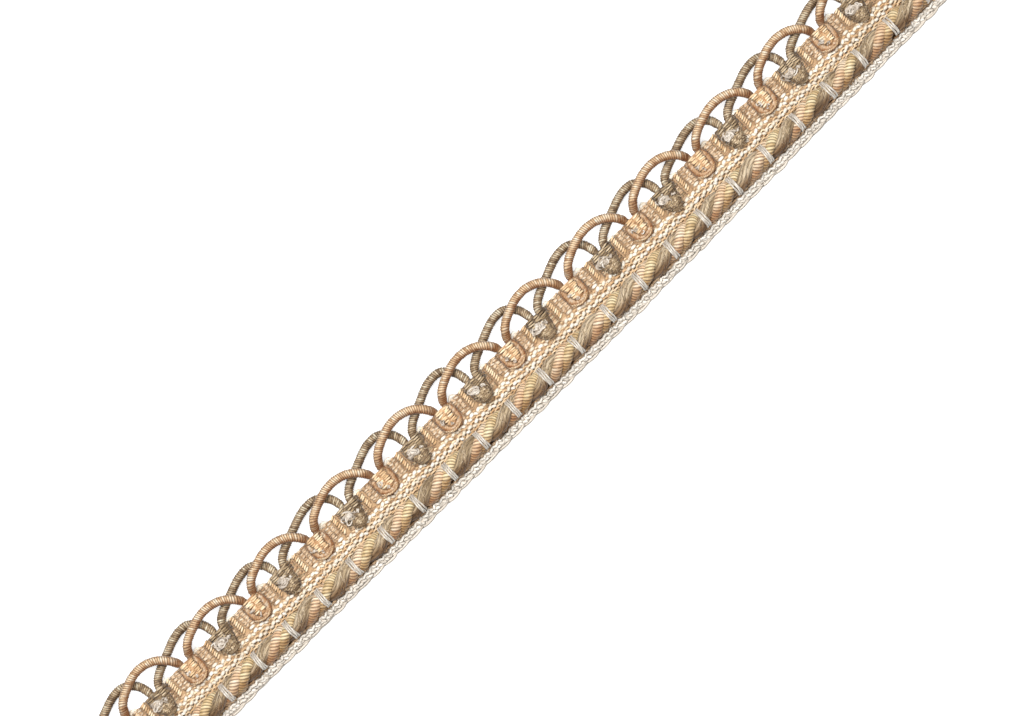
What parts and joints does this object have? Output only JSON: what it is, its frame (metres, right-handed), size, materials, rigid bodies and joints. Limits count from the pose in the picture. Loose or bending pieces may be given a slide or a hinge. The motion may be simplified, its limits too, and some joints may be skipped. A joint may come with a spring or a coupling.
{
  "type": "looped cord trim",
  "caption": "Cut length of looped cord trim in gold and taupe: a woven tape with crossed loops of wrapped cord, a stitched-down twisted rope and a white chain edge.",
  "frame": {"origin": "on the flat back face, half way along the trim and at the middle of its width", "axes": "+X along the trim, +Y across it towards the loops, +Z out of the back towards the rope and loops"},
  "size_m": [0.3712, 0.0333, 0.0086],
  "materials": {
    "tape": "ribbed weave of gold and cream yarn, soft sheen",
    "white_yarn": "matte off-white cotton yarn",
    "rope": "twisted plies, one fibrous taupe and two crepe in peach and green-gold, satin sheen",
    "taupe_cord": "wrapped cord, fine close turns, soft sheen",
    "gold_cord": "wrapped cord, fine close turns, satin sheen",
    "taupe_thread": "slightly fuzzy binding thread",
    "gold_thread": "satin binding thread",
    "white_thread": "fine off-white sewing thread"
  },
  "bodies": {
    "root": {"ground_tape": "tape", "edge_chain": "white_yarn", "rope": "rope", "back_loops": "taupe_cord", "front_loops": "gold_cord", "back_binding_01": "taupe_thread", "back_binding_02": "taupe_thread", "back_binding_03": "taupe_thread", "back_binding_04": "taupe_thread", "back_binding_05": "taupe_thread", "back_binding_06": "taupe_thread", "back_binding_07": "taupe_thread", "back_binding_08": "taupe_thread", "back_binding_09": "taupe_thread", "back_binding_10": "taupe_thread", "back_binding_11": "taupe_thread", "back_binding_12": "taupe_thread", "back_binding_13": "taupe_thread", "back_binding_14": "taupe_thread", "front_binding_01": "gold_thread", "front_binding_02": "gold_thread", "front_binding_03": "gold_thread", "front_binding_04": "gold_thread", "front_binding_05": "gold_thread", "front_binding_06": "gold_thread", "front_binding_07": "gold_thread", "front_binding_08": "gold_thread", "front_binding_09": "gold_thread", "front_binding_10": "gold_thread", "front_binding_11": "gold_thread", "front_binding_12": "gold_thread", "front_binding_13": "gold_thread", "stitch_01": "white_thread", "stitch_02": "white_thread", "stitch_03": "white_thread", "stitch_04": "white_thread", "stitch_05": "white_thread", "stitch_06": "white_thread", "stitch_07": "white_thread", "stitch_08": "white_thread", "stitch_09": "white_thread", "stitch_10": "white_thread", "stitch_11": "white_thread", "stitch_12": "white_thread", "stitch_13": "white_thread", "stitch_14": "white_thread", "stitch_15": "white_thread", "stitch_16": "white_thread", "stitch_17": "white_thread", "stitch_18": "white_thread", "stitch_19": "white_thread", "stitch_20": "white_thread", "stitch_21": "white_thread", "stitch_22": "white_thread", "stitch_23": "white_thread", "stitch_24": "white_thread", "stitch_25": "white_thread", "stitch_26": "white_thread", "stitch_27": "white_thread"}
  },
  "joints": []
}
